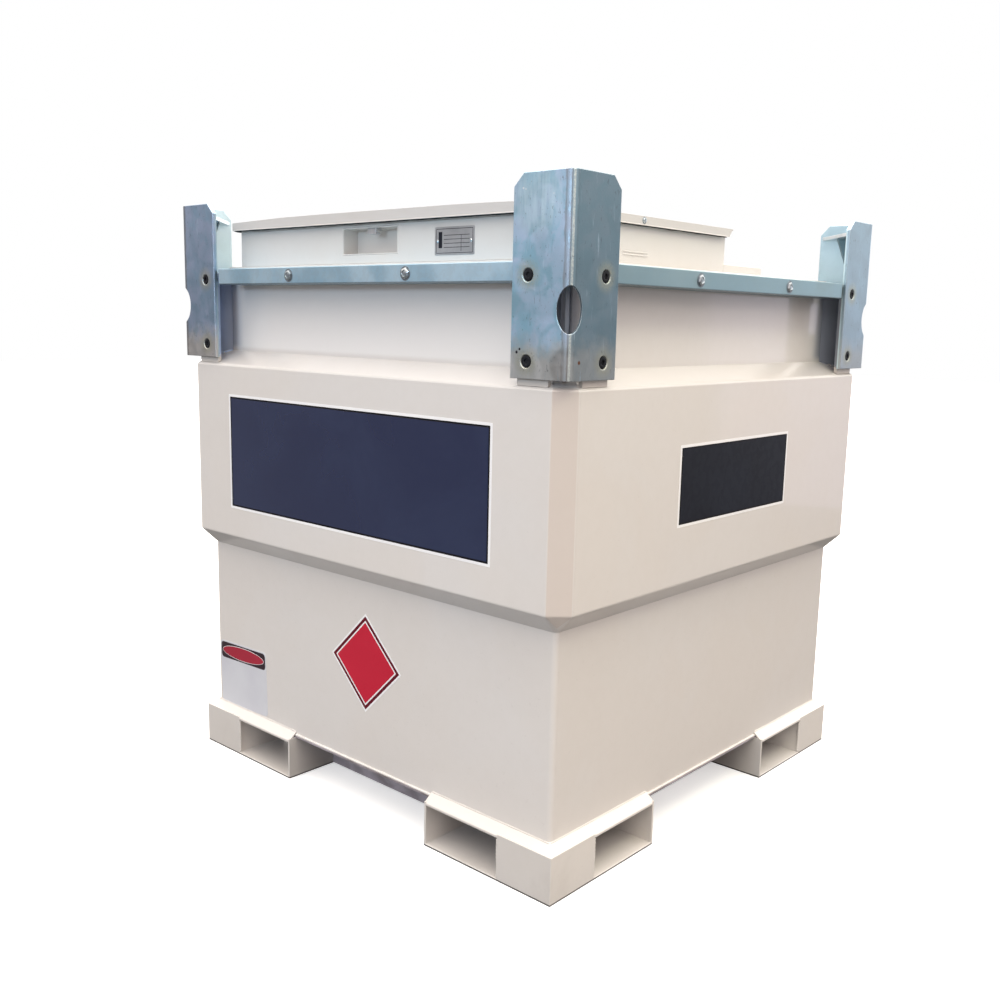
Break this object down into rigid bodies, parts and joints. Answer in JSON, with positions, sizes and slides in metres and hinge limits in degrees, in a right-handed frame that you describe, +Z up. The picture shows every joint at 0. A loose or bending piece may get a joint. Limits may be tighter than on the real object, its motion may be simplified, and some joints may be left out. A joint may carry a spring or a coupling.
{
  "type": "stackable steel storage tank",
  "caption": "Square folded-steel liquid storage tank with a wider band, corner posts, rails, fork-pocket feet and a hinged top cabinet lid.",
  "frame": {"origin": "centre of the footprint, on the floor", "axes": "+Z up, -Y out of the front face with the handle recess, +X out of the right-hand side"},
  "size_m": [1.164, 1.164, 1.308],
  "materials": {
    "white_paint": "glossy white paint on folded sheet steel",
    "zinc_coat": "dull blue-grey zinc coat"
  },
  "bodies": {
    "tank": {"tank_floor": "white_paint", "top_deck": "white_paint", "body_panel_front": "white_paint", "body_panel_right": "white_paint", "body_panel_back": "white_paint", "body_panel_left": "white_paint", "cross_plate_front": "white_paint", "cross_plate_right": "white_paint", "cross_plate_back": "white_paint", "cross_plate_left": "white_paint", "foot_front_right": "white_paint", "foot_back_right": "white_paint", "foot_back_left": "white_paint", "foot_front_left": "white_paint", "post_pad_front_right": "white_paint", "post_pad_back_right": "white_paint", "post_pad_back_left": "white_paint", "post_pad_front_left": "white_paint", "cabinet_front": "white_paint", "cabinet_back": "white_paint", "cabinet_left": "white_paint", "cabinet_right": "white_paint", "handle_pan": "white_paint", "rear_cover": "white_paint", "post_front_right": "zinc_coat", "post_back_right": "zinc_coat", "post_back_left": "zinc_coat", "post_front_left": "zinc_coat", "stack_seat_front_right": "zinc_coat", "stack_seat_back_right": "zinc_coat", "stack_seat_back_left": "zinc_coat", "stack_seat_front_left": "zinc_coat", "rail_front": "zinc_coat", "rail_right": "zinc_coat", "rail_back": "zinc_coat", "rail_left": "zinc_coat", "catch": "zinc_coat", "hinge_base_right": "zinc_coat", "hinge_base_left": "zinc_coat"},
    "lid": {"cabinet_lid": "white_paint", "hinge_arm_right": "zinc_coat", "hinge_arm_left": "zinc_coat"}
  },
  "joints": [
    {"name": "lid_hinge", "type": "hinge", "parent": "tank", "child": "lid", "pos_m": [0, 0.141, 1.251], "axis": [-1, 0, 0], "range_deg": [0, 90]}
  ]
}
